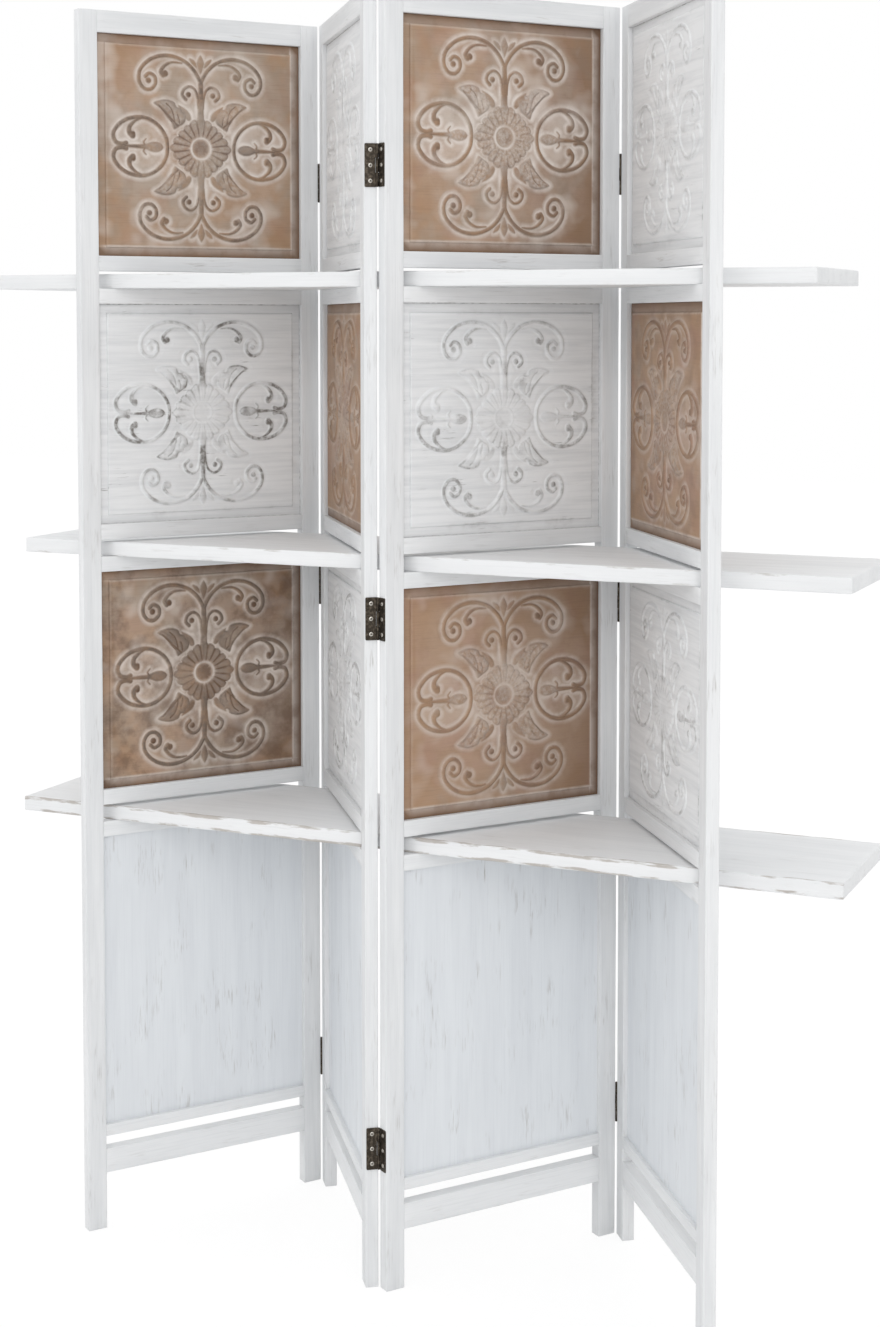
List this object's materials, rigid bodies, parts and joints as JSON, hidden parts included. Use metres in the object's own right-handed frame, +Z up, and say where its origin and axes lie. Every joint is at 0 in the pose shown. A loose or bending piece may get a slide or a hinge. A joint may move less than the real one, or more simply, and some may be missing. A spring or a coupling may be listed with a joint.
{
  "type": "folding room divider screen with shelves",
  "caption": "Folding wooden room divider in a zigzag, framed panels with carved boards in brown and white, joined by butt hinges, with long planks through slots as shelves.",
  "frame": {"origin": "on the floor, under the middle of the zigzag's bounding box", "axes": "+X along the planks to the right, -Y to the front, +Z up"},
  "size_m": [1.226, 0.3052, 1.7],
  "materials": {
    "white_wood": "white wash paint rubbed through at the edges",
    "white_boards": "carved, white wash paint rubbed grey on the relief",
    "brown_boards": "carved, brown stain with a pale wash on the relief",
    "hinges": "dark bronzed",
    "screws": "plain"
  },
  "bodies": {
    "middle_pins": {"middle_hinge_pins": "hinges"},
    "panel_1": {"panel_1_left_stile": "white_wood", "panel_1_right_stile": "white_wood", "panel_1_top_rail": "white_wood", "panel_1_shelf_rails": "white_wood", "panel_1_lower_rail": "white_wood", "panel_1_bottom_rail": "white_wood", "panel_1_top_carved_board": "brown_boards", "panel_1_middle_carved_board": "white_boards", "panel_1_bottom_carved_board": "brown_boards", "panel_1_lower_board": "white_wood", "left_hinge_short_leaves": "hinges", "left_hinge_short_screws": "screws"},
    "panel_2": {"panel_2_left_stile": "white_wood", "panel_2_right_stile": "white_wood", "panel_2_top_rail": "white_wood", "panel_2_shelf_rails": "white_wood", "panel_2_lower_rail": "white_wood", "panel_2_bottom_rail": "white_wood", "panel_2_top_carved_board": "white_boards", "panel_2_middle_carved_board": "brown_boards", "panel_2_bottom_carved_board": "white_boards", "panel_2_lower_board": "white_wood", "left_hinge_long_leaves": "hinges", "left_hinge_long_screws": "screws", "left_hinge_pins": "hinges", "middle_hinge_long_leaves": "hinges", "middle_hinge_long_screws": "screws"},
    "panel_3": {"panel_3_left_stile": "white_wood", "panel_3_right_stile": "white_wood", "panel_3_top_rail": "white_wood", "panel_3_shelf_rails": "white_wood", "panel_3_lower_rail": "white_wood", "panel_3_bottom_rail": "white_wood", "panel_3_top_carved_board": "brown_boards", "panel_3_middle_carved_board": "white_boards", "panel_3_bottom_carved_board": "brown_boards", "panel_3_lower_board": "white_wood", "middle_hinge_short_leaves": "hinges", "middle_hinge_short_screws": "screws", "right_hinge_short_leaves": "hinges", "right_hinge_short_screws": "screws"},
    "panel_4": {"panel_4_left_stile": "white_wood", "panel_4_right_stile": "white_wood", "panel_4_top_rail": "white_wood", "panel_4_shelf_rails": "white_wood", "panel_4_lower_rail": "white_wood", "panel_4_bottom_rail": "white_wood", "panel_4_top_carved_board": "white_boards", "panel_4_middle_carved_board": "brown_boards", "panel_4_bottom_carved_board": "white_boards", "panel_4_lower_board": "white_wood", "right_hinge_long_leaves": "hinges", "right_hinge_long_screws": "screws", "right_hinge_pins": "hinges"},
    "top_shelf": {"top_shelf": "white_wood"},
    "middle_shelf": {"middle_shelf": "white_wood"},
    "bottom_shelf": {"bottom_shelf": "white_wood"}
  },
  "joints": [
    {"name": "fold", "type": "hinge", "parent": "middle_pins", "child": "panel_3", "pos_m": [0, -0.14369, 0], "axis": [0, 0, 1], "range_deg": [-2, 36]},
    {"name": "fold_panel_2", "type": "hinge", "parent": "middle_pins", "child": "panel_2", "pos_m": [0, -0.14369, 0], "axis": [0, 0, 1], "range_deg": [-36, 2]},
    {"name": "fold_panel_1", "type": "hinge", "parent": "panel_2", "child": "panel_1", "pos_m": [-0.23054, 0.14369, 0], "axis": [0, 0, 1], "range_deg": [-4, 72]},
    {"name": "fold_panel_4", "type": "hinge", "parent": "panel_3", "child": "panel_4", "pos_m": [0.23054, 0.14369, 0], "axis": [0, 0, 1], "range_deg": [-72, 4]},
    {"name": "slide_top_shelf", "type": "slide", "parent": "middle_pins", "child": "top_shelf", "axis": [1, 0, 0], "range_m": [-0.087, 0.133]},
    {"name": "slide_middle_shelf", "type": "slide", "parent": "middle_pins", "child": "middle_shelf", "axis": [1, 0, 0], "range_m": [-0.133, 0.087]},
    {"name": "slide_bottom_shelf", "type": "slide", "parent": "middle_pins", "child": "bottom_shelf", "axis": [1, 0, 0], "range_m": [-0.126, 0.094]}
  ],
  "couplings": [
    {"joint": "fold_panel_2", "follows": "fold", "ratio": -1},
    {"joint": "fold_panel_1", "follows": "fold", "ratio": 2},
    {"joint": "fold_panel_4", "follows": "fold", "ratio": -2}
  ]
}
